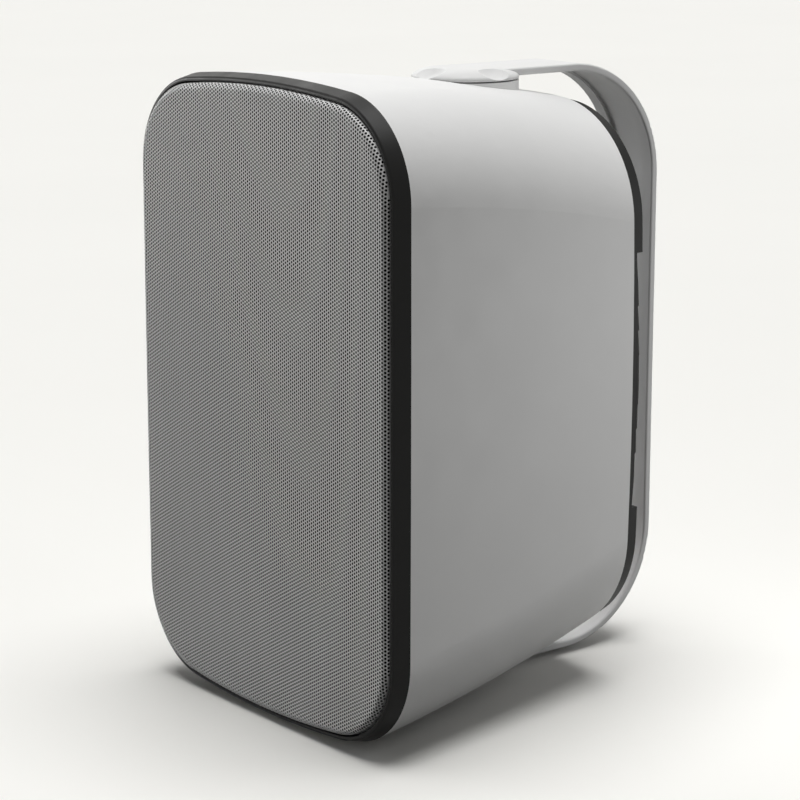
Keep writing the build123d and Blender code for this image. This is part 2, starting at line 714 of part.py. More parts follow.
# Gaskets under the three driver flanges, with holes for the screws
gaskets = (
    ("woofer", WOOFER_Z, woofer_seat, WOOFER_R, WOOFER_CUTOUT_R, woofer_screw_places),
    ("tweeter", TWEETER_Z, tweeter_seat, TWEETER_R, TWEETER_CUTOUT_R, tweeter_screw_places),
    ("radiator", 0, radiator_seat, RADIATOR_R, RADIATOR_BORE_R, radiator_screw_places),
)
for name, height, seat_out, outer_r, inner_r, places in gaskets:
    with BuildPart() as gasket:
        with BuildSketch(facing(seat_out - GASKET_T)):
            with Locations((0, height)):
                Circle(outer_r)
                Circle(inner_r, mode=Mode.SUBTRACT)
            with Locations(*places):
                Circle(DRIVER_SCREW_R, mode=Mode.SUBTRACT)
        extrude(amount=GASKET_T)
    save(gasket, f"{name}_gasket")

# Woofer basket: flange, open cone of ribs, spider ledge and floor
ledge_r = SPIDER_LEDGE_R + ROLL_FLANGE + WOOFER_WALL / 2
basket_bore_r = COIL_R + COIL_GAP * 4
with BuildPart() as woofer_basket:
    with BuildSketch(axial(WOOFER_Z)):
        with BuildLine():
            Polyline(
                (FACE_OUT, WOOFER_R), (woofer_seat, WOOFER_R), (woofer_seat, WOOFER_LIP_R + WOOFER_WALL),
                (basket_floor + BASKET_FLOOR_T * 2, BASKET_BASE_R), (basket_floor, BASKET_BASE_R),
                (basket_floor, basket_bore_r), (basket_floor + BASKET_FLOOR_T, basket_bore_r),
                (basket_floor + BASKET_FLOOR_T, SPIDER_LEDGE_R), (spider_seat, SPIDER_LEDGE_R),
                (spider_seat, ledge_r), (woofer_seat, WOOFER_LIP_R), (FACE_OUT, WOOFER_LIP_R), close=True,
            )
        make_face()
    revolve(axis=driver_axis(WOOFER_Z))
    with BuildSketch(facing(spider_seat + BASKET_FLOOR_T)):
        with Locations((0, WOOFER_Z)):
            with PolarLocations(WOOFER_LIP_R - BASKET_WINDOW_W / 2, BASKET_WINDOWS):
                Rectangle(WOOFER_LIP_R, BASKET_WINDOW_W)
    extrude(amount=woofer_seat - spider_seat - 2 * BASKET_FLOOR_T, mode=Mode.SUBTRACT)
    with BuildSketch(facing(FACE_OUT)):
        with Locations(*woofer_screw_places):
            Circle(DRIVER_SCREW_R)
    extrude(amount=-WOOFER_FLANGE_T, mode=Mode.SUBTRACT)
save(woofer_basket, "woofer_basket")

save(ring(WOOFER_Z, plate_back, basket_floor, TOP_PLATE_R, COIL_R + COIL_GAP), "woofer_top_plate")
save(ring(WOOFER_Z, magnet_back, plate_back, MAGNET_R, MAGNET_BORE_R), "woofer_magnet")

# Yoke: back plate and pole in one turned piece, vented through the middle
with BuildPart() as woofer_yoke:
    with BuildSketch(facing(magnet_back)):
        with Locations((0, WOOFER_Z)):
            Circle(YOKE_R)
    extrude(amount=-YOKE_T)
    with BuildSketch(facing(magnet_back)):
        with Locations((0, WOOFER_Z)):
            Circle(coil_bore_r - COIL_GAP)
    extrude(amount=MAGNET_T + TOP_PLATE_T)
    with BuildSketch(facing(magnet_back - YOKE_T)):
        with Locations((0, WOOFER_Z)):
            Circle(VENT_R)
    extrude(amount=YOKE_T + MAGNET_T + TOP_PLATE_T, mode=Mode.SUBTRACT)
save(woofer_yoke, "woofer_yoke")

# Voice coil on its former, glued in the cone's neck
coil_front = neck_front + CONE_T
save(ring(WOOFER_Z, coil_front - COIL_LENGTH, coil_front, COIL_R, coil_bore_r), "woofer_voice_coil")

# Cone with a flat rim for the surround
with BuildPart() as woofer_cone:
    with BuildSketch(axial(WOOFER_Z)):
        with BuildLine():
            Polyline(
                (cone_front, CONE_R), (cone_front, CONE_R - CONE_RIM), (neck_front, COIL_R),
                (neck_front - CONE_T, COIL_R), (cone_front - CONE_T, CONE_R - CONE_RIM),
                (cone_front - CONE_T, CONE_R), close=True,
            )
        make_face()
    revolve(axis=driver_axis(WOOFER_Z))
save(woofer_cone, "woofer_cone")

# Dust cap: a thin spherical cap that stands on the cone
cone_slope = CONE_DEPTH / (CONE_R - CONE_RIM - COIL_R)
cap_base = neck_front + cone_slope * (CAP_R - COIL_R)
with BuildPart() as woofer_dust_cap:
    with BuildSketch(axial(WOOFER_Z)):
        with BuildLine():
            cap_ball_r = (CAP_R**2 + CAP_H**2) / (2 * CAP_H)
            shoulder_r = CAP_R * sqrt(0.5)
            shoulder = cap_base + CAP_H - cap_ball_r + sqrt(cap_ball_r**2 - shoulder_r**2)
            inner_base = cap_base - cone_slope * CAP_T
            ThreePointArc((cap_base, CAP_R), (shoulder, shoulder_r), (cap_base + CAP_H, 0))
            Line((cap_base + CAP_H, 0), (cap_base + CAP_H - CAP_T, 0))
            ThreePointArc((cap_base + CAP_H - CAP_T, 0), (shoulder - CAP_T, shoulder_r - CAP_T / 4),
                          (inner_base, CAP_R - CAP_T))
            Line((inner_base, CAP_R - CAP_T), (cap_base, CAP_R))
        make_face()
    revolve(axis=driver_axis(WOOFER_Z))
save(woofer_dust_cap, "woofer_dust_cap")

# Rubber surround of the woofer, from the cone's rim to the basket's flange
surround_gap = WOOFER_LIP_R - CONE_R
save(roll(WOOFER_Z, FACE_OUT, (CONE_R - CONE_RIM, CONE_R + ROLL_T / 2),
          (WOOFER_LIP_R + surround_gap / 3, WOOFER_LIP_R + surround_gap / 3 + ROLL_FLANGE), ROLL_T),
     "woofer_surround")

# Spider: folded cloth disc from the voice coil to its ledge
fold = (SPIDER_LEDGE_R - COIL_R) / SPIDER_FOLDS
spider_wave = [(SPIDER_WAVE * (i % 2), SPIDER_LEDGE_R - fold * i) for i in range(SPIDER_FOLDS + 1)]
spider_back = [(spider_seat, ledge_r)] + [(spider_seat + wave, radius) for wave, radius in spider_wave]
spider_front = [(out + SPIDER_T, radius) for out, radius in reversed(spider_back)]
with BuildPart() as woofer_spider:
    with BuildSketch(axial(WOOFER_Z)):
        with BuildLine():
            Polyline(*spider_back, *spider_front, close=True)
        make_face()
    revolve(axis=driver_axis(WOOFER_Z))
save(woofer_spider, "woofer_spider")

save(driver_screws(woofer_screw_places, FACE_OUT, 1, WOOFER_FLANGE_T + GASKET_T + DRIVER_SCREW_BITE),
     "woofer_screws")

# Tweeter faceplate with a short flare to the dome
with BuildPart() as tweeter_faceplate:
    with BuildSketch(axial(TWEETER_Z)):
        with BuildLine():
            Polyline((FACE_OUT, TWEETER_R), (tweeter_seat, TWEETER_R), (tweeter_seat, TWEETER_THROAT_R),
                     (tweeter_seat + TWEETER_THROAT_T, TWEETER_THROAT_R))
            ThreePointArc((tweeter_seat + TWEETER_THROAT_T, TWEETER_THROAT_R),
                          ((FACE_OUT + tweeter_seat + TWEETER_THROAT_T + DOME_LAND) / 2,
                           (TWEETER_HORN_R + TWEETER_THROAT_R) / 2 - DOME_LAND),
                          (FACE_OUT, TWEETER_HORN_R))
            Line((FACE_OUT, TWEETER_HORN_R), (FACE_OUT, TWEETER_R))
        make_face()
    revolve(axis=driver_axis(TWEETER_Z))
    with BuildSketch(facing(FACE_OUT)):
        with Locations(*tweeter_screw_places):
            Circle(DRIVER_SCREW_R)
    extrude(amount=-TWEETER_FLANGE_T, mode=Mode.SUBTRACT)
save(tweeter_faceplate, "tweeter_faceplate")

# Tweeter motor, with the pole under the dome
dome_gap_r = DOME_R + 2 * DOME_GAP
save(ring(TWEETER_Z, tweeter_plate_back, tweeter_seat, TWEETER_PLATE_R, dome_gap_r), "tweeter_top_plate")
save(ring(TWEETER_Z, tweeter_magnet_back, tweeter_plate_back, TWEETER_MAGNET_R, TWEETER_MAGNET_BORE_R),
     "tweeter_magnet")
with BuildPart() as tweeter_yoke:
    with BuildSketch(facing(tweeter_magnet_back)):
        with Locations((0, TWEETER_Z)):
            Circle(TWEETER_YOKE_R)
    extrude(amount=-TWEETER_YOKE_T)
    with BuildSketch(facing(tweeter_magnet_back)):
        with Locations((0, TWEETER_Z)):
            Circle(DOME_R - DOME_T - DOME_GAP)
    extrude(amount=TWEETER_MAGNET_T + TWEETER_PLATE_T)
save(tweeter_yoke, "tweeter_yoke")

# Tweeter dome and the skirt that carries its coil
with BuildPart() as tweeter_dome:
    with BuildSketch(axial(TWEETER_Z)):
        with BuildLine():
            dome_base = tweeter_seat + DOME_LAND
            dome_ball_r = (DOME_R**2 + DOME_H**2) / (2 * DOME_H)
            inner_r = DOME_R - DOME_T
            half = sqrt(0.5)
            dome_mid = dome_base + DOME_H - dome_ball_r + sqrt(dome_ball_r**2 - (DOME_R * half) ** 2)
            ThreePointArc((dome_base, DOME_R), (dome_mid, DOME_R * half), (dome_base + DOME_H, 0))
            Line((dome_base + DOME_H, 0), (dome_base + DOME_H - DOME_T, 0))
            ThreePointArc((dome_base + DOME_H - DOME_T, 0), (dome_mid - DOME_T, inner_r * half),
                          (dome_base, inner_r))
            skirt_end = dome_base - DOME_SKIRT
            Polyline((dome_base, inner_r), (skirt_end, inner_r), (skirt_end, DOME_R), (dome_base, DOME_R))
        make_face()
    revolve(axis=driver_axis(TWEETER_Z))
save(tweeter_dome, "tweeter_dome")

dome_roll_inner = DOME_R + DOME_LAND
dome_roll_outer = dome_roll_inner + 2 * DOME_ROLL_R
save(roll(TWEETER_Z, tweeter_seat, (DOME_R, dome_roll_inner), (dome_roll_outer, TWEETER_THROAT_R), DOME_T),
     "tweeter_surround")
save(driver_screws(tweeter_screw_places, FACE_OUT, 1, TWEETER_FLANGE_T + GASKET_T + DRIVER_SCREW_BITE),
     "tweeter_screws")

# Passive radiator: frame, dished cone with its mass, rubber surround that rolls to the rear
frame_back = radiator_seat - GASKET_T - RADIATOR_FRAME_T
with BuildPart() as radiator_frame:
    with BuildSketch(facing(frame_back)):
        Circle(RADIATOR_R)
        Circle(RADIATOR_BORE_R, mode=Mode.SUBTRACT)
        with Locations(*radiator_screw_places):
            Circle(DRIVER_SCREW_R, mode=Mode.SUBTRACT)
    extrude(amount=RADIATOR_FRAME_T)
save(radiator_frame, "radiator_frame")

with BuildPart() as radiator_cone:
    with BuildSketch(axial(0)):
        with BuildLine():
            dish = frame_back + RADIATOR_DISH
            dish_front = dish + RADIATOR_CONE_T
            mass_front = dish_front + RADIATOR_MASS_H
            rim_r = RADIATOR_CONE_R - RADIATOR_RIM
            rim_front = frame_back + RADIATOR_CONE_T
            Polyline(
                (frame_back, RADIATOR_CONE_R), (frame_back, rim_r), (dish, RADIATOR_DISH_R), (dish, 0),
                (mass_front, 0), (mass_front, RADIATOR_MASS_R), (dish_front, RADIATOR_MASS_R),
                (dish_front, RADIATOR_DISH_R), (rim_front, rim_r), (rim_front, RADIATOR_CONE_R), close=True,
            )
        make_face()
    revolve(axis=driver_axis(0))
save(radiator_cone, "radiator_cone")
save(roll(0, frame_back, (RADIATOR_CONE_R - RADIATOR_RIM, RADIATOR_CONE_R),
          (RADIATOR_BORE_R + FIT_GAP, RADIATOR_BORE_R + FIT_GAP + RADIATOR_RIM / 2), ROLL_T, rearward=True),
     "radiator_surround")
radiator_screw_length = RADIATOR_FRAME_T + GASKET_T + DRIVER_SCREW_BITE
save(driver_screws(radiator_screw_places, frame_back, -1, radiator_screw_length), "radiator_screws")

# Terminal plate, and on it two posts whose screw caps turn
with BuildPart() as terminal_plate:
    with BuildSketch(facing(PANEL_FACE)):
        with Locations((0, TERMINAL_Z)):
            RectangleRounded(TERMINAL_W - FIT_GAP, TERMINAL_H - FIT_GAP, TERMINAL_EDGE)
        with Locations((POST_PITCH / 2, TERMINAL_Z), (-POST_PITCH / 2, TERMINAL_Z)):
            Circle(POST_R, mode=Mode.SUBTRACT)
        with Locations(*terminal_screw_places):
            Circle(DRIVER_SCREW_R, mode=Mode.SUBTRACT)
    extrude(amount=TERMINAL_T)
save(terminal_plate, "terminal_plate")
terminal_screw_length = TERMINAL_T + DRIVER_SCREW_BITE
save(driver_screws(terminal_screw_places, PANEL_FACE, -1, terminal_screw_length), "terminal_screws")

for side, name in ((1, "positive"), (-1, "negative")):
    place = (side * POST_PITCH / 2, TERMINAL_Z)
    with BuildPart() as terminal_post:
        with BuildSketch(facing(PANEL_FACE)):
            with Locations(place):
                Circle(POST_R)
        extrude(amount=POST_INNER)
        with BuildSketch(facing(PANEL_FACE)):
            with Locations(place):
                Circle(POST_R)
        extrude(amount=-POST_OUTER)
        with BuildSketch(facing(PANEL_FACE)):
            with Locations(place):
                Circle(COLLAR_R)
        extrude(amount=-COLLAR_T)
    save(terminal_post, f"terminal_post_{name}")
    with BuildPart() as terminal_cap:
        with BuildSketch(facing(PANEL_FACE - COLLAR_T)):
            with Locations(place):
                Circle(KNOB_R)
                Circle(POST_R + KNOB_GAP, mode=Mode.SUBTRACT)
                with PolarLocations(KNOB_R, KNOB_FLUTES):
                    Circle(KNOB_FLUTE_R, mode=Mode.SUBTRACT)
        extrude(amount=-KNOB_LENGTH)
    save(terminal_cap, f"terminal_cap_{name}")

# Crossover on standoffs behind the rear panel
board_back = PANEL_FRONT + STANDOFF_H
board_front = board_back + BOARD_T
standoff_x = BOARD_W - 2 * STANDOFF_INSET
standoff_z = BOARD_H - 2 * STANDOFF_INSET
with BuildPart() as crossover_standoffs:
    with BuildSketch(facing(PANEL_FRONT)):
        with Locations((0, BOARD_Z)):
            with GridLocations(standoff_x, standoff_z, 2, 2):
                Circle(STANDOFF_R)
    extrude(amount=STANDOFF_H)
save(crossover_standoffs, "crossover_standoffs")

with BuildPart() as crossover_board:
    with BuildSketch(facing(board_back)):
        with Locations((0, BOARD_Z)):
            RectangleRounded(BOARD_W, BOARD_H, STANDOFF_R)
    extrude(amount=BOARD_T)
save(crossover_board, "crossover_board")

with BuildPart() as crossover_inductor:
    with BuildSketch(facing(board_front)):
        with Locations((COIL_BOBBIN_X, BOARD_Z)):
            Circle(COIL_BOBBIN_R)
            Circle(COIL_BOBBIN_BORE_R, mode=Mode.SUBTRACT)
    extrude(amount=COIL_BOBBIN_H)
save(crossover_inductor, "crossover_inductor")

with BuildPart() as crossover_capacitors:
    with BuildSketch(Plane.YZ.offset(CAPACITOR_X)):
        with Locations((-board_front - CAPACITOR_R, BOARD_Z)):
            with GridLocations(0, CAPACITOR_PITCH, 1, 2):
                Circle(CAPACITOR_R)
    extrude(amount=CAPACITOR_LENGTH / 2, both=True)
save(crossover_capacitors, "crossover_capacitors")

with BuildPart() as crossover_resistor:
    with BuildSketch(facing(board_front)):
        with Locations((RESISTOR_X, BOARD_Z)):
            Rectangle(RESISTOR_W, RESISTOR_LENGTH)
    extrude(amount=RESISTOR_W)
save(crossover_resistor, "crossover_resistor")
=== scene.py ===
"""Outdoor speaker in its swivel bracket: grille, surrounds in sectors, finishes, studio light and camera.
"""
import json
from math import asin, atan2, cos, pi, radians, sin, sqrt

import bmesh
import bpy
from mathutils import Matrix, Vector


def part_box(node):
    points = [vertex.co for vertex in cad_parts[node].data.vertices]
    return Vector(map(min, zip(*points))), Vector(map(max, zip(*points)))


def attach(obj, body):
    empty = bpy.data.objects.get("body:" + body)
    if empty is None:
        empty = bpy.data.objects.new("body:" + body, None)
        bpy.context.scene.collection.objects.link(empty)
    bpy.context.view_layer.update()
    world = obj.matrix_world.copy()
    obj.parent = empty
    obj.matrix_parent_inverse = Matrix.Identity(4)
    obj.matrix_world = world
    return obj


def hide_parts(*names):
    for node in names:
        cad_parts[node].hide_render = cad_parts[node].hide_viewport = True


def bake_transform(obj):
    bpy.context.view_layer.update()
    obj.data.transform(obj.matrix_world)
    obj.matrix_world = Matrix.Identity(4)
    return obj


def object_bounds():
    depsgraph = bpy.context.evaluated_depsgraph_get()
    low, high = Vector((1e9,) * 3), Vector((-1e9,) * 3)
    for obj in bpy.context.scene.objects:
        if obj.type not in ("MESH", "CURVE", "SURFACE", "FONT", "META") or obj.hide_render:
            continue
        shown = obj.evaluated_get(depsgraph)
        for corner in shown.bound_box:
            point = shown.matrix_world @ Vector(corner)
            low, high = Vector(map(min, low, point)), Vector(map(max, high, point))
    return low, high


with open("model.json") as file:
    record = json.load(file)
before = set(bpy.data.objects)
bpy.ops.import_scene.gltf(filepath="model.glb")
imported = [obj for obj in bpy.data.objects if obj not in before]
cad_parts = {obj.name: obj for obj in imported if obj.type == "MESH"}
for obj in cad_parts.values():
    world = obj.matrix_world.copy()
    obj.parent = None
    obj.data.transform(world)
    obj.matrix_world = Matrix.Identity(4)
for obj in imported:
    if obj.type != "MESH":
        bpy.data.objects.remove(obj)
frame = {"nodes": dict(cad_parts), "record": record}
cad_box = [list(corner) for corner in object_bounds()]
scene = bpy.context.scene
scene.view_settings.view_transform = "Standard"
nodes = frame["nodes"]

for name in ("Cube", "Light", "Camera"):
    spare = bpy.data.objects.get(name)
    if spare:
        bpy.data.objects.remove(spare)

# Finishes. Scales are cells per metre, depths are metres
NOISE_LOW, NOISE_HIGH = 0.3, 0.7
NOISE_ROUGHNESS = 0.55
DRIFT_SCALE = 14
GLOSS_SCALE = 60
GRAIN_STRENGTH = 0.35
FUZZ_SCALE = 200
WEAVE_STRENGTH = 0.6
WEAVE_DEPTH = 0.0002
METAL_DRIFT_SCALE = 45
METAL_GLOSS_SCALE = 500
RING_STRENGTH = 0.15
RING_DEPTH = 0.00004


def shader(name):
    """A new node material with its shader and object coordinates."""
    mat = bpy.data.materials.new(name)
    mat.use_nodes = True
    tree = mat.node_tree
    bsdf = tree.nodes["Principled BSDF"]
    coords = tree.nodes.new("ShaderNodeTexCoord")
    return mat, tree, bsdf, coords.outputs["Object"]


def noise(tree, vector, scale, detail):
    node = tree.nodes.new("ShaderNodeTexNoise")
    node.inputs["Scale"].default_value = scale
    node.inputs["Detail"].default_value = detail
    node.inputs["Roughness"].default_value = NOISE_ROUGHNESS
    tree.links.new(vector, node.inputs["Vector"])
    return node.outputs["Fac"]


def ramp(tree, fac, low, high, start=NOISE_LOW, end=NOISE_HIGH):
    node = tree.nodes.new("ShaderNodeValToRGB")
    node.color_ramp.elements[0].position = start
    node.color_ramp.elements[0].color = (*low, 1)
    node.color_ramp.elements[1].position = end
    node.color_ramp.elements[1].color = (*high, 1)
    tree.links.new(fac, node.inputs["Fac"])
    return node.outputs["Color"]


def spread(tree, value, low, high):
    node = tree.nodes.new("ShaderNodeMapRange")
    node.inputs["From Min"].default_value = NOISE_LOW
    node.inputs["From Max"].default_value = NOISE_HIGH
    node.inputs["To Min"].default_value = low
    node.inputs["To Max"].default_value = high
    tree.links.new(value, node.inputs["Value"])
    return node.outputs["Result"]


def bump(tree, height, strength, distance):
    node = tree.nodes.new("ShaderNodeBump")
    node.inputs["Strength"].default_value = strength
    node.inputs["Distance"].default_value = distance
    tree.links.new(height, node.inputs["Height"])
    return node.outputs["Normal"]


def waves(tree, vector, scale, direction, kind="BANDS"):
    node = tree.nodes.new("ShaderNodeTexWave")
    node.wave_type = kind
    if kind == "BANDS":
        node.bands_direction = direction
    else:
        node.rings_direction = direction
    node.inputs["Scale"].default_value = scale
    tree.links.new(vector, node.inputs["Vector"])
    return node.outputs["Fac"]


def moulded(name, dark, light, rough, grain, depth, specular=0.5):
    """Moulded, painted or cast surface: slow colour drift, uneven gloss and a fine grain."""
    mat, tree, bsdf, place = shader(name)
    drift = noise(tree, place, DRIFT_SCALE, 4)
    gloss = noise(tree, place, GLOSS_SCALE, 3)
    height = noise(tree, place, grain, 2)
    tree.links.new(ramp(tree, drift, dark, light), bsdf.inputs["Base Color"])
    tree.links.new(spread(tree, gloss, *rough), bsdf.inputs["Roughness"])
    tree.links.new(bump(tree, height, GRAIN_STRENGTH, depth), bsdf.inputs["Normal"])
    bsdf.inputs["Specular IOR Level"].default_value = specular
    return mat


def woven(name, dark, light, rough, threads):
    """Plain weave: two crossed sets of threads, with the gaps between them darker."""
    mat, tree, bsdf, place = shader(name)
    across = waves(tree, place, threads, "X")
    upward = waves(tree, place, threads, "Z")
    cross = tree.nodes.new("ShaderNodeMath")
    cross.operation = "MULTIPLY"
    tree.links.new(across, cross.inputs[0])
    tree.links.new(upward, cross.inputs[1])
    weave = cross.outputs[0]
    fuzz = noise(tree, place, FUZZ_SCALE, 2)
    tree.links.new(ramp(tree, weave, dark, light, 0.1, 0.9), bsdf.inputs["Base Color"])
    tree.links.new(spread(tree, fuzz, *rough), bsdf.inputs["Roughness"])
    tree.links.new(bump(tree, weave, WEAVE_STRENGTH, WEAVE_DEPTH), bsdf.inputs["Normal"])
    return mat


def turned(name, dark, light, rough, rings):
    """Lathe turned or drawn metal: fine rings about the drivers' axis and a slow drift."""
    mat, tree, bsdf, place = shader(name)
    lines = waves(tree, place, rings, "Y", kind="RINGS")
    drift = noise(tree, place, METAL_DRIFT_SCALE, 4)
    gloss = noise(tree, place, METAL_GLOSS_SCALE, 2)
    tree.links.new(ramp(tree, drift, dark, light), bsdf.inputs["Base Color"])
    tree.links.new(spread(tree, gloss, *rough), bsdf.inputs["Roughness"])
    tree.links.new(bump(tree, lines, RING_STRENGTH, RING_DEPTH), bsdf.inputs["Normal"])
    bsdf.inputs["Metallic"].default_value = 1.0
    return mat


finishes = {
    "white_shell": moulded("shell_plastic", (0.80, 0.80, 0.795), (0.83, 0.83, 0.825), (0.42, 0.52),
                           2600, 0.00006),
    "white_bracket": moulded("bracket_paint", (0.74, 0.74, 0.735), (0.78, 0.78, 0.775), (0.44, 0.54),
                             1900, 0.00004, specular=0.3),
    "white_grille": moulded("grille_paint", (0.74, 0.74, 0.735), (0.78, 0.78, 0.775), (0.40, 0.50),
                            2200, 0.00003),
    "black_plastic": moulded("black_moulding", (0.005, 0.005, 0.005), (0.008, 0.008, 0.008),
                             (0.38, 0.50), 2200, 0.00008, specular=0.16),
    "black_cloth": woven("grille_cloth_weave", (0.004, 0.004, 0.004), (0.016, 0.016, 0.016),
                         (0.85, 0.95), 320),
    "spider_cloth": woven("spider_weave", (0.26, 0.19, 0.09), (0.42, 0.33, 0.17), (0.80, 0.92), 260),
    "rubber": moulded("rubber", (0.011, 0.011, 0.011), (0.018, 0.018, 0.018), (0.55, 0.70),
                      900, 0.00005),
    "cone_plastic": moulded("cone_plastic", (0.017, 0.017, 0.018), (0.030, 0.030, 0.031),
                            (0.38, 0.50), 700, 0.00006),
    "coil_aluminium": turned("aluminium", (0.70, 0.70, 0.71), (0.82, 0.82, 0.83), (0.28, 0.40), 500),
    "plate_steel": turned("plated_steel", (0.50, 0.50, 0.51), (0.62, 0.62, 0.63), (0.30, 0.44), 420),
    "ferrite": moulded("ferrite", (0.020, 0.020, 0.021), (0.036, 0.036, 0.038), (0.55, 0.72),
                       1200, 0.0001),
    "steel": turned("screw_steel", (0.10, 0.10, 0.105), (0.16, 0.16, 0.165), (0.32, 0.46), 600),
    "brass": turned("brass", (0.62, 0.46, 0.18), (0.76, 0.58, 0.26), (0.22, 0.34), 700),
    "red_cap": moulded("red_cap", (0.42, 0.012, 0.012), (0.52, 0.020, 0.018), (0.26, 0.36),
                       1500, 0.00003),
    "black_cap": moulded("black_cap", (0.012, 0.012, 0.012), (0.020, 0.020, 0.020), (0.26, 0.36),
                         1500, 0.00003),
    "board": moulded("circuit_board", (0.012, 0.085, 0.028), (0.020, 0.130, 0.045), (0.30, 0.42),
                     800, 0.00005),
    "ceramic": moulded("ceramic", (0.62, 0.60, 0.55), (0.74, 0.72, 0.67), (0.60, 0.75),
                       1000, 0.00008),
}
for row in frame["record"]["subparts"]:
    for place in nodes[row["node"]].material_slots:
        place.material = finishes[row["material_slot"]]

# Outline of the front: a rounded rectangle with four shallow arcs for sides
ARC_STEPS = (36, 22, 50)


def crowned_arcs(half_w, half_h, corner_r, crown, side_crown):
    """Centres, radii and meeting angles of the top, corner and side arcs of one quarter."""
    top_r = (half_w**2 + crown**2) / (2 * crown)
    side_r = (half_h**2 + side_crown**2) / (2 * side_crown)
    top, side = Vector((0, half_h - top_r)), Vector((half_w - side_r, 0))
    span = side - top
    reach_top, reach_side = top_r - corner_r, side_r - corner_r
    along = (reach_top**2 - reach_side**2 + span.length**2) / (2 * span.length)
    across = Vector((span.y, -span.x)).normalized()
    centre = top + span.normalized() * along + across * sqrt(reach_top**2 - along**2)
    from_top = atan2(centre.x - top.x, centre.y - top.y)
    from_side = atan2(centre.x - side.x, centre.y - side.y)
    return (
        (top, top_r, 0.0, from_top),
        (centre, corner_r, from_top, from_side),
        (side, side_r, from_side, pi / 2),
    )


def crowned_loop(section):
    """Points of the whole outline, clockwise from its top, as (x, z)."""
    quarter = []
    for (centre, radius, start, end), count in zip(crowned_arcs(*section), ARC_STEPS):
        for i in range(count):
            angle = start + (end - start) * i / count
            quarter.append((centre.x + radius * sin(angle), centre.y + radius * cos(angle)))
    quarter.append((section[0], 0.0))
    loop = quarter[:-1]
    loop += [(x, -z) for x, z in reversed(quarter)][:-1]
    loop += [(-x, -z) for x, z in quarter][:-1]
    loop += [(-x, z) for x, z in reversed(quarter)][:-1]
    return loop


def height_at(section, x):
    """Half height of the outline at a distance from its middle line."""
    arcs = crowned_arcs(*section)
    for centre, radius, _, end in arcs[:2]:
        if x <= centre.x + radius * sin(end):
            return centre.y + sqrt(radius**2 - (x - centre.x) ** 2)
    centre, radius = arcs[2][:2]
    return sqrt(max(radius**2 - (x - centre.x) ** 2, 0.0))


def mesh_from(bm, name):
    """A new mesh from a finished bmesh."""
    mesh = bpy.data.meshes.new(name)
    bm.to_mesh(mesh)
    bm.free()
    return mesh


def piece(name, mesh, slot, body):
    """A new piece with its finish, which rides on a body."""
    obj = bpy.data.objects.new(name, mesh)
    scene.collection.objects.link(obj)
    mesh.materials.append(finishes[slot])
    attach(obj, body)
    return obj


# Grille: sheet perforated right over its rounded edge, drawn flat and then bent
grille_lo, grille_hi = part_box("grille")
GRILLE_CORNER_R = 0.0362
GRILLE_CROWN = 0.0075
GRILLE_SIDE_CROWN = 0.0004
FOLD_R = 0.0024
FOLD_LENGTH = FOLD_R * pi / 2
PLAIN_STRIP = 0.0010
HOLE_MARGIN = 0.0003
HOLE_PITCH = 0.00151
HOLE_COLUMN = 0.001335
HOLE_R = 0.00056
HOLE_SIDES = 6


def grille_section(inset):
    """The sheet's outline, as crowned_arcs takes it, at a distance inside its edge."""
    half_w, half_h = grille_hi.x - inset, grille_hi.z - inset
    return half_w, half_h, GRILLE_CORNER_R - inset, GRILLE_CROWN, GRILLE_SIDE_CROWN


sheet_y = grille_lo.y
flat_arcs = crowned_arcs(*grille_section(FOLD_R))


def over_fold(x, z):
    """Where a point of the flat sheet lies once its edge is bent back."""
    corner, _, from_top, from_side = flat_arcs[1]
    angle = atan2(abs(x) - corner.x, abs(z) - corner.y)
    part = 0 if angle < from_top else 2 if angle > from_side else 1
    centre, radius = flat_arcs[part][:2]
    spoke = Vector((abs(x), abs(z))) - centre
    beyond = spoke.length - radius
    if beyond <= 0:
        return Vector((x, sheet_y, z))
    turn = min(beyond / FOLD_R, pi / 2)
    place = centre + spoke.normalized() * (radius + FOLD_R * sin(turn))
    drop = FOLD_R * (1 - cos(turn)) + max(beyond - FOLD_LENGTH, 0.0)
    return Vector((place.x if x > 0 else -place.x, sheet_y + drop, place.y if z > 0 else -place.y))


hole_area = grille_section(FOLD_R - FOLD_LENGTH + HOLE_MARGIN)
columns = int(hole_area[0] / HOLE_COLUMN)
hole_angles = [radians(360 / HOLE_SIDES * k) for k in range(HOLE_SIDES)]
spokes = [(HOLE_R * cos(angle), HOLE_R * sin(angle)) for angle in hole_angles]
bm = bmesh.new()
holes = {}
for i in range(-columns, columns + 1):
    limit = height_at(hole_area, abs(i) * HOLE_COLUMN)
    rows = int(limit / HOLE_PITCH) + 1
    for j in range(-rows, rows + 1):
        z = (j + 0.5 * (i % 2)) * HOLE_PITCH
        if abs(z) <= limit:
            x = i * HOLE_COLUMN
            holes[i, j] = [bm.verts.new((x + dx, sheet_y, z + dz)) for dx, dz in spokes]
# Bars between neighbouring holes, and the small triangles where three of them meet
for (i, j), c in holes.items():
    up = holes.get((i, j + 1))
    right = holes.get((i + 1, j + i % 2))
    left = holes.get((i - 1, j + i % 2))
    if up:
        bm.faces.new((c[1], up[5], up[4], c[2]))
    if right:
        bm.faces.new((c[0], right[4], right[3], c[1]))
    if left:
        bm.faces.new((c[2], left[0], left[5], c[3]))
    if up and right:
        bm.faces.new((c[1], up[5], right[3]))
    if up and left:
        bm.faces.new((c[2], up[4], left[0]))
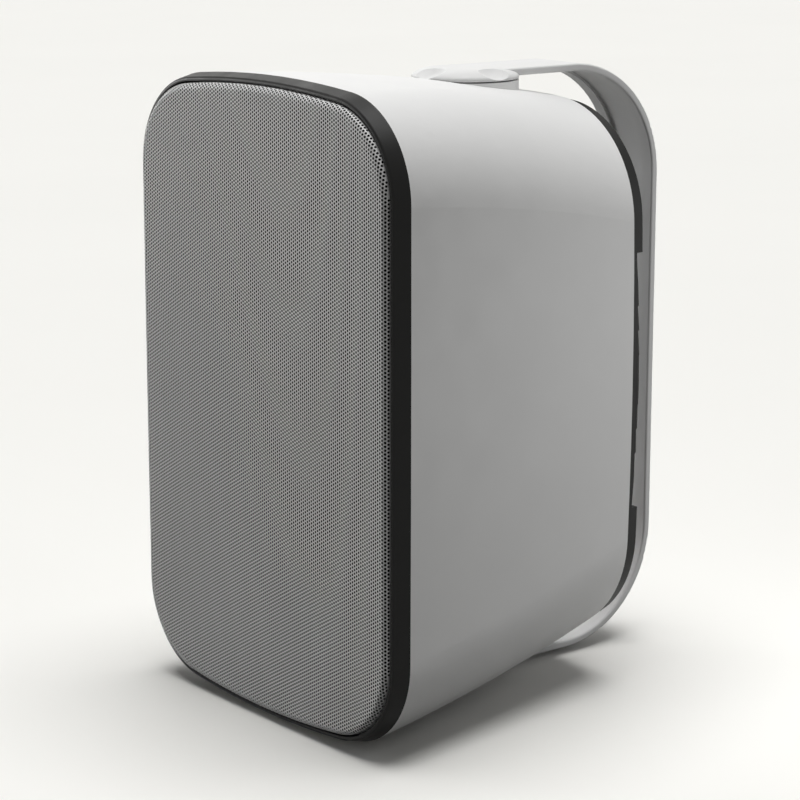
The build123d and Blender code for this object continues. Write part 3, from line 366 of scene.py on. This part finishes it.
# Plain strip between the outermost holes and the sheet's edge
border = [edge for edge in bm.edges if len(edge.link_faces) == 1]
rims = set()
for c in holes.values():
    for k in range(HOLE_SIDES):
        ends = c[k], c[(k + 1) % HOLE_SIDES]
        edge = bm.edges.get(ends)
        if edge is None:
            border.append(bm.edges.new(ends))
        else:
            rims.add(edge)
border = [edge for edge in border if edge not in rims]
sheet_end = grille_section(FOLD_R - FOLD_LENGTH - PLAIN_STRIP)
ring = [bm.verts.new((x, sheet_y, z)) for x, z in crowned_loop(sheet_end)]
sheet_edge = [bm.edges.new((ring[k], ring[(k + 1) % len(ring)])) for k in range(len(ring))]
bmesh.ops.triangle_fill(bm, edges=border + sheet_edge, use_beauty=True, normal=(0, -1, 0))
for vert in bm.verts:
    vert.co = over_fold(vert.co.x, vert.co.z)
skirt = [bm.verts.new((vert.co.x, grille_hi.y, vert.co.z)) for vert in ring]
for k in range(len(ring)):
    n = (k + 1) % len(ring)
    bm.faces.new((ring[k], skirt[k], skirt[n], ring[n]))
bmesh.ops.recalc_face_normals(bm, faces=bm.faces[:])
for face in bm.faces:
    face.smooth = True
grille_sheet = piece("grille_sheet", mesh_from(bm, "grille_sheet"), "white_grille", "speaker")
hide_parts("grille")

# Water shedding cloth, stretched behind the sheet
cloth_lo, cloth_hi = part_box("grille_cloth")
cloth_corner_r = GRILLE_CORNER_R - (grille_hi.x - cloth_hi.x)
cloth_section = (cloth_hi.x, cloth_hi.z, cloth_corner_r, GRILLE_CROWN, GRILLE_SIDE_CROWN)
bm = bmesh.new()
hem = [bm.verts.new((x, cloth_lo.y, z)) for x, z in crowned_loop(cloth_section)]
bm.faces.new(list(reversed(hem)))
cloth_area = sum(f.calc_area() for f in bm.faces)
bmesh.ops.triangulate(bm, faces=bm.faces[:])
cloth_backing = piece("cloth_backing", mesh_from(bm, "cloth_backing"), "black_cloth", "speaker")
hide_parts("grille_cloth")

# Rubber surrounds: rings in sectors, the inner rim on the cone and the outer rim on the frame
ROLL_T = 0.001
ROLL_STEPS = 14
SECTORS = 12
SECTOR_STEPS = 8


def roll_profile(inner_r, roll_in, roll_out, outer_r):
    """Closed section of a half roll between two flanges: (radius, height, is the next side round)."""
    middle, half = (roll_in + roll_out) / 2, (roll_out - roll_in) / 2

    def arc(radius, level):
        """From the inner flange over the crest to the outer one, at the flanges' top or bottom."""
        start = pi - level * asin(ROLL_T / 2 / radius)
        angles = [start + (pi - 2 * start) * k / ROLL_STEPS for k in range(ROLL_STEPS + 1)]
        return [(middle + radius * cos(angle), ROLL_T / 2 + radius * sin(angle)) for angle in angles]

    def round_sides(points):
        return [(r, h, k < ROLL_STEPS) for k, (r, h) in enumerate(points)]

    return [
        (inner_r, ROLL_T, False),
        *round_sides(arc(half + ROLL_T / 2, 1)),
        (outer_r, ROLL_T, False),
        (outer_r, 0.0, False),
        *round_sides(reversed(arc(half - ROLL_T / 2, -1))),
        (inner_r, 0.0, False),
    ]


def soft_ring(node, rearward, roll_in, roll_out, inner_r):
    """Replaces a CAD surround by a ring of separate sectors."""
    low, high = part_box(node)
    seat, side = (low.y, 1) if rearward else (high.y, -1)
    height, outer_r = (low.z + high.z) / 2, (high.x - low.x) / 2
    section = roll_profile(inner_r, roll_in, roll_out, outer_r)
    span = 2 * pi / SECTORS
    for sector in range(SECTORS):
        bm = bmesh.new()
        rows = []
        for step in range(SECTOR_STEPS + 1):
            angle = span * (sector + step / SECTOR_STEPS)
            rows.append([bm.verts.new((r * cos(angle), seat + side * h, height + r * sin(angle)))
                         for r, h, _ in section])
        for one, two in zip(rows, rows[1:]):
            for k, (_, _, rounded) in enumerate(section):
                n = (k + 1) % len(section)
                corners = (one[k], one[n], two[n], two[k])
                bm.faces.new(corners[::-1] if rearward else corners).smooth = rounded
        mesh = mesh_from(bm, f"{node}_{sector + 1:02d}")
        ring = bpy.data.objects.new(mesh.name, mesh)
        scene.collection.objects.link(ring)
        mesh.materials.append(finishes["rubber"])
        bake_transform(ring)
        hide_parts(node)


soft_ring("woofer_surround", rearward=False,
          roll_in=0.0520, roll_out=0.06017, inner_r=0.0480)
soft_ring("radiator_surround", rearward=True,
          roll_in=0.0340, roll_out=0.0423, inner_r=0.0300)


# Floor and backdrop, which the camera and reflections see paler than the light that they send on
def seen_directly(tree):
    """1 for rays from the camera, a gloss or a clear surface."""
    path = tree.nodes.new("ShaderNodeLightPath")
    first = tree.nodes.new("ShaderNodeMath")
    first.operation = "MAXIMUM"
    tree.links.new(path.outputs["Is Camera Ray"], first.inputs[0])
    tree.links.new(path.outputs["Is Glossy Ray"], first.inputs[1])
    second = tree.nodes.new("ShaderNodeMath")
    second.operation = "MAXIMUM"
    tree.links.new(first.outputs[0], second.inputs[0])
    tree.links.new(path.outputs["Is Transmission Ray"], second.inputs[1])
    return second.outputs[0]


def show(tree, sent_on, seen, output):
    """Gives a surface or a world one shader for the light that it sends on and one to be seen."""
    mix = tree.nodes.new("ShaderNodeMixShader")
    tree.links.new(seen_directly(tree), mix.inputs["Fac"])
    tree.links.new(sent_on.outputs[0], mix.inputs[1])
    tree.links.new(seen.outputs[0], mix.inputs[2])
    tree.links.new(mix.outputs[0], tree.nodes[output].inputs["Surface"])


FLOOR_HALF = 12.0
FLOOR_GAP = 0.0005
PAPER_SCALE = 3
PAPER_DARK, PAPER_LIGHT = (0.897, 0.890, 0.857), (0.907, 0.900, 0.867)
BOUNCE = (0.12, 0.12, 0.118, 1)
GLOW_STRENGTH = 0.04
BACKDROP = (0.913, 0.905, 0.871, 1)

floor_mat = bpy.data.materials.new("floor_paper")
floor_mat.use_nodes = True
tree = floor_mat.node_tree
tree.nodes.remove(tree.nodes["Principled BSDF"])
coords = tree.nodes.new("ShaderNodeTexCoord")
clouds = noise(tree, coords.outputs["Object"], PAPER_SCALE, 3)
paper = tree.nodes.new("ShaderNodeBsdfDiffuse")
tree.links.new(ramp(tree, clouds, PAPER_DARK, PAPER_LIGHT), paper.inputs["Color"])
bounce = tree.nodes.new("ShaderNodeBsdfDiffuse")
bounce.inputs["Color"].default_value = BOUNCE
show(tree, bounce, paper, "Material Output")

floor_z = cad_box[0][2] - FLOOR_GAP
floor_corners = [(x * FLOOR_HALF, y * FLOOR_HALF, floor_z) for x, y in ((-1, -1), (1, -1), (1, 1), (-1, 1))]
mesh = bpy.data.meshes.new("floor")
mesh.from_pydata(floor_corners, [], [(0, 1, 2, 3)])
mesh.materials.append(floor_mat)
floor = bpy.data.objects.new("floor", mesh)
scene.collection.objects.link(floor)

world = bpy.data.worlds.new("studio")
scene.world = world
world.use_nodes = True
tree = world.node_tree
glow = tree.nodes["Background"]
glow.inputs["Color"].default_value = (1.0, 1.0, 1.0, 1)
glow.inputs["Strength"].default_value = GLOW_STRENGTH
backdrop = tree.nodes.new("ShaderNodeBackground")
backdrop.inputs["Color"].default_value = BACKDROP
backdrop.inputs["Strength"].default_value = 1.0
show(tree, glow, backdrop, "World Output")

# Lamps
LAMP_DISTANCE = 2


def lamp(data, location, towards):
    """Puts a lamp in its place, shining along a direction."""
    obj = bpy.data.objects.new(data.name, data)
    obj.location = location
    obj.rotation_euler = Vector(towards).to_track_quat("-Z", "Y").to_euler()
    scene.collection.objects.link(obj)
    return obj


def soft_lamp(name, energy, angle, towards):
    """A broad, far lamp that shines along a direction."""
    data = bpy.data.lights.new(name, "SUN")
    data.energy = energy
    data.angle = angle
    lamp(data, Vector(towards) * -LAMP_DISTANCE, towards)


soft_lamp("overhead", 2.85, 0.8, (0.0, -0.04, -1.0))
soft_lamp("left_rear", 0.12, 0.4, (0.73, -0.47, -0.50))
soft_lamp("left_front", 2.25, 0.5, (0.90, 0.43, -0.02))
softbox = bpy.data.lights.new("right_softbox", "AREA")
softbox.energy = 0.22
softbox.shape = "RECTANGLE"
softbox.size = 0.15
softbox.size_y = 0.30
lamp(softbox, (0.25, 0.11, 0.04), (-1.0, -0.65, 0.0)).visible_camera = False

# Camera, solved from the photograph
AZIMUTH, ELEVATION, ROLL = radians(51.52), radians(12.60), radians(0.07)
CAMERA_PLACE = (0.8385, -0.7997, 0.2316)
LENS, SENSOR_WIDTH = 117.017, 36.0
CLIP_END = 100.0
back = Vector((sin(AZIMUTH) * cos(ELEVATION), -cos(AZIMUTH) * cos(ELEVATION), sin(ELEVATION)))
right = Vector((cos(AZIMUTH), sin(AZIMUTH), 0))
up = back.cross(right)
turn = Matrix((right, up, back)).transposed().to_4x4()
camera_data = bpy.data.cameras.new("camera")
camera_data.lens = LENS
camera_data.sensor_width = SENSOR_WIDTH
camera_data.clip_end = CLIP_END
camera = bpy.data.objects.new("camera", camera_data)
camera.matrix_world = Matrix.Translation(CAMERA_PLACE) @ turn @ Matrix.Rotation(ROLL, 4, "Z")
scene.collection.objects.link(camera)
scene.camera = camera

bpy.context.view_layer.update()
